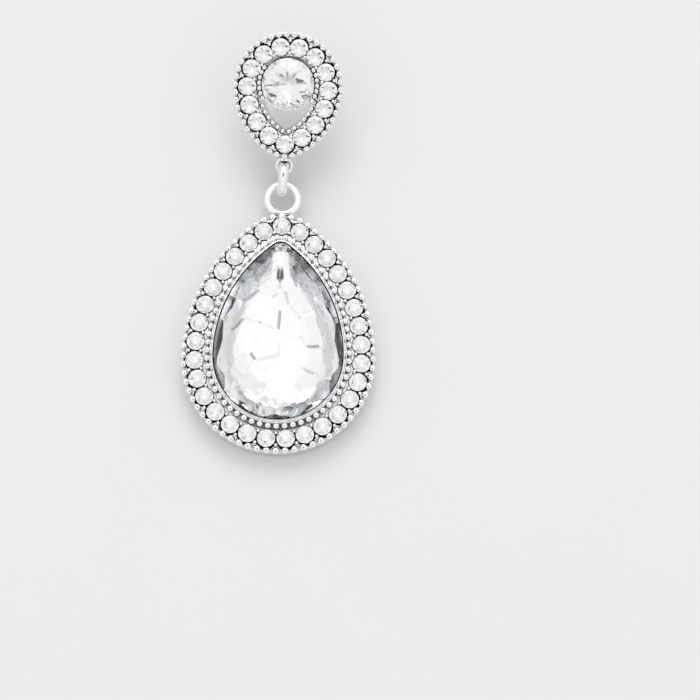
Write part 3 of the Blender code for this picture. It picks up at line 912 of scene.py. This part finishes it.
class EARRING_OT_stud_eye(bpy.types.Operator):
    """Turn the thin eye on the stud's tip and its beaded collar"""

    bl_idname = "earring.stud_eye"
    bl_label = "Stud Eye"

    def execute(self, context):
        begin()
        bpy.ops.mesh.primitive_torus_add(major_radius=EYE_MEAN, minor_radius=EYE_WIRE / 2,
                                         major_segments=48, minor_segments=14)
        eye = named("stud_eye")
        bpy.ops.object.shade_smooth()
        clad(eye, "lightly_shaded_rhodium")
        settle(eye, STUD_PLACE @ Matrix.Translation(EYE_CENTRE))
        finish_piece(eye, "silver")

        collar = turned("stud_collar", 24, 0.5, 0.0, COLLAR_PROFILE)
        smooth(collar)
        clad(collar, "polished_rhodium")
        settle(collar, STUD_PLACE @ COLLAR_PLACE)
        finish_piece(collar, "silver")
        return {"FINISHED"}


class EARRING_OT_stud_crystals(bpy.types.Operator):
    """Set the stud's row of small crystals"""

    bl_idname = "earring.stud_crystals"
    bl_label = "Stud Crystals"

    def execute(self, context):
        set_row("stud_crystal", STUD, STUD_ROW, STUD_STONES, STUD_STONE_LEVEL, STUD_PLACE, None)
        return {"FINISHED"}


class EARRING_OT_round_crystal(bpy.types.Operator):
    """Cut the round brilliant of the stud"""

    bl_idname = "earring.round_crystal"
    bl_label = "Round Crystal"

    def execute(self, context):
        cuts = (
            (8, 0.0, 33.0, True, 0.0, 0.0),
            (16, 0.5, 41.0, True, 0.0, 0.0),
            (8, 0.5, 22.0, True, 0.95 * MM, 0.69 * MM),
            (8, 0.35, 16.0, False, 0.0, 0.0),
            (16, 0.85, 23.0, False, 0.0, 0.0),
        )
        stone = cut_crystal("round_crystal", Round(ROUND_STONE), ROUND_GIRDLE_FOOT, ROUND_GIRDLE,
                            ROUND_CROWN, ROUND_PAVILION, cuts, polish=0.03 * MM,
                            slivers=0.08 * MM)
        settle(stone, STUD_PLACE @ Matrix.Translation((0, ROUND_RISE, 0)))
        finish_piece(stone, "crystal", "round_stone")
        return {"FINISHED"}


class EARRING_OT_post(bpy.types.Operator):
    """Draw out the ear post on its pad"""

    bl_idname = "earring.post"
    bl_label = "Ear Post"

    def execute(self, context):
        pad = PAD_DIAMETER / 2 / MM
        wire = POST_DIAMETER / 2 / MM
        back = -0.05 - PAD_THICKNESS / MM
        end = -POST_LENGTH / MM
        profile = (
            (pad - 0.1, -0.05), (pad, -0.12), (pad, back + 0.1), (pad - 0.1, back), (wire + 0.25, back),
            (wire + 0.06, back - 0.08), (wire, back - 0.25), (wire, end + 1.75), (wire - 0.09, end + 1.6),
            (wire - 0.09, end + 1.4), (wire, end + 1.25), (wire, end + 0.4), (wire * 0.8, end + 0.15),
            (wire * 0.4, end + 0.02), (0.03, end),
        )
        post = turned("post", 32, 0.5, -0.05, profile)
        smooth(post)
        clad(post, "lightly_shaded_rhodium")
        settle(post, STUD_PLACE @ Matrix.Translation(POST_CENTRE))
        finish_piece(post, "silver", "ear_post")
        return {"FINISHED"}


def soft_light(name, power, size, location, aim):
    """A square softbox that faces a point."""
    lamp = bpy.data.lights.new(name, "AREA")
    lamp.energy = power
    lamp.size = size
    body = bpy.data.objects.new(name, lamp)
    bpy.context.collection.objects.link(body)
    body.location = location
    body.rotation_euler = (Vector(aim) - Vector(location)).to_track_quat("-Z", "Y").to_euler()
    return body


class EARRING_OT_stage(bpy.types.Operator):
    """Lay the floor and set the soft lights and the camera"""

    bl_idname = "earring.stage"
    bl_label = "Stage"

    def execute(self, context):
        scene = context.scene
        look = scene.earring_finish
        begin()
        bpy.ops.mesh.primitive_plane_add(size=5.0)
        floor = named("floor")
        _, tree, shader = nodes_of("pale_floor")
        shader.inputs["Roughness"].default_value = 0.8
        paper = noise_on(tree, 60.0)
        tint = tree.nodes.new("ShaderNodeMix")
        tint.data_type = "RGBA"
        tint.inputs["A"].default_value = (*look.floor, 1)
        tint.inputs["B"].default_value = (*(part * 0.99 for part in look.floor), 1)
        tree.links.new(paper.outputs["Fac"], tint.inputs["Factor"])
        tree.links.new(tint.outputs["Result"], shader.inputs["Base Color"])
        clad(floor, "pale_floor")

        world = bpy.data.worlds.new("soft_room")
        scene.world = world
        world.use_nodes = True
        tree = world.node_tree
        place = tree.nodes.new("ShaderNodeTexCoord")
        split = tree.nodes.new("ShaderNodeSeparateXYZ")
        dome = tree.nodes.new("ShaderNodeValToRGB")
        dome.color_ramp.elements[0].position = 0.0
        dome.color_ramp.elements[0].color = (0.6, 0.6, 0.61, 1)
        dome.color_ramp.elements[1].position = 0.9
        dome.color_ramp.elements[1].color = (1.0, 1.0, 1.0, 1)
        middle = dome.color_ramp.elements.new(0.4)
        middle.color = (0.8, 0.8, 0.81, 1)
        tree.links.new(place.outputs["Generated"], split.inputs["Vector"])
        tree.links.new(split.outputs["Z"], dome.inputs["Fac"])
        toward = tree.nodes.new("ShaderNodeVectorMath")
        toward.operation = "DOT_PRODUCT"
        toward.inputs[1].default_value = TENT_OPENING
        tree.links.new(place.outputs["Generated"], toward.inputs[0])
        opening = tree.nodes.new("ShaderNodeMix")
        opening.data_type = "RGBA"
        passage = tree.nodes.new("ShaderNodeLightPath")
        tree.links.new(passage.outputs["Is Transmission Ray"], opening.inputs["Factor"])
        for side, angle in (("A", look.opening), ("B", look.crystal_opening)):
            edge = tree.nodes.new("ShaderNodeValToRGB")
            edge.color_ramp.elements[0].position = math.cos(math.radians(angle + 3))
            edge.color_ramp.elements[0].color = (1, 1, 1, 1)
            edge.color_ramp.elements[1].position = math.cos(math.radians(angle))
            edge.color_ramp.elements[1].color = (0.08, 0.08, 0.08, 1)
            tree.links.new(toward.outputs["Value"], edge.inputs["Fac"])
            tree.links.new(edge.outputs["Color"], opening.inputs[side])
        tent = tree.nodes.new("ShaderNodeMix")
        tent.data_type = "RGBA"
        tent.blend_type = "MULTIPLY"
        tent.inputs["Factor"].default_value = 1.0
        tree.links.new(dome.outputs["Color"], tent.inputs["A"])
        tree.links.new(opening.outputs["Result"], tent.inputs["B"])
        tree.links.new(tent.outputs["Result"], tree.nodes["Background"].inputs["Color"])
        tree.nodes["Background"].inputs["Strength"].default_value = 1.08

        soft_light("key_softbox", 6.0, 0.9, (-0.05, 1.0, 1.05), (0, 0, 0))

        lens = bpy.data.cameras.new("camera")
        lens.lens = 180.0
        lens.sensor_width = 36.0
        camera = bpy.data.objects.new("camera", lens)
        context.collection.objects.link(camera)
        elevation = math.radians(75.7)
        aim = Vector((9.472, -14.741, 3.3)) * MM
        distance = 462.5 * MM
        back = Vector((0, -math.cos(elevation), math.sin(elevation)))
        camera.location = aim + back * distance
        turn = (-back).to_track_quat("-Z", "Y").to_matrix().to_4x4() @ Matrix.Rotation(math.radians(1.28), 4, "Z")
        camera.rotation_euler = turn.to_euler()
        lens.clip_start = 0.01
        lens.clip_end = 10.0
        scene.camera = camera
        scene.view_settings.view_transform = "Standard"
        scene.cycles.max_bounces = 24
        scene.cycles.glossy_bounces = 20
        scene.cycles.transmission_bounces = 20
        return {"FINISHED"}


OPERATORS = (
    EARRING_OT_finishes,
    EARRING_OT_drop_setting,
    EARRING_OT_drop_grains,
    EARRING_OT_pear_crystal,
    EARRING_OT_drop_crystals,
    EARRING_OT_tip_ring,
    EARRING_OT_link,
    EARRING_OT_stud_setting,
    EARRING_OT_stud_grains,
    EARRING_OT_stud_eye,
    EARRING_OT_stud_crystals,
    EARRING_OT_round_crystal,
    EARRING_OT_post,
    EARRING_OT_stage,
)


class EARRING_PT_panel(bpy.types.Panel):
    """Lists the earring's pieces, sizes and finishes"""

    bl_idname = "EARRING_PT_panel"
    bl_label = "Teardrop Earring"
    bl_space_type = "VIEW_3D"
    bl_region_type = "UI"
    bl_category = "Earring"

    def draw(self, context):
        for group in (context.scene.earring_sizes, context.scene.earring_finish):
            box = self.layout.box()
            for name in group.__annotations__:
                box.prop(group, name)
        for operator in OPERATORS:
            self.layout.operator(operator.bl_idname)


CLASSES = (EarringSizes, EarringFinish, *OPERATORS, EARRING_PT_panel)


def register():
    for item in CLASSES:
        bpy.utils.register_class(item)
    bpy.types.Scene.earring_sizes = PointerProperty(type=EarringSizes)
    bpy.types.Scene.earring_finish = PointerProperty(type=EarringFinish)


def unregister():
    del bpy.types.Scene.earring_finish
    del bpy.types.Scene.earring_sizes
    for item in reversed(CLASSES):
        bpy.utils.unregister_class(item)


def main():
    register()
    for operator in OPERATORS:
        group, name = operator.bl_idname.split(".")
        getattr(getattr(bpy.ops, group), name)()


if __name__ == "__main__":
    main()
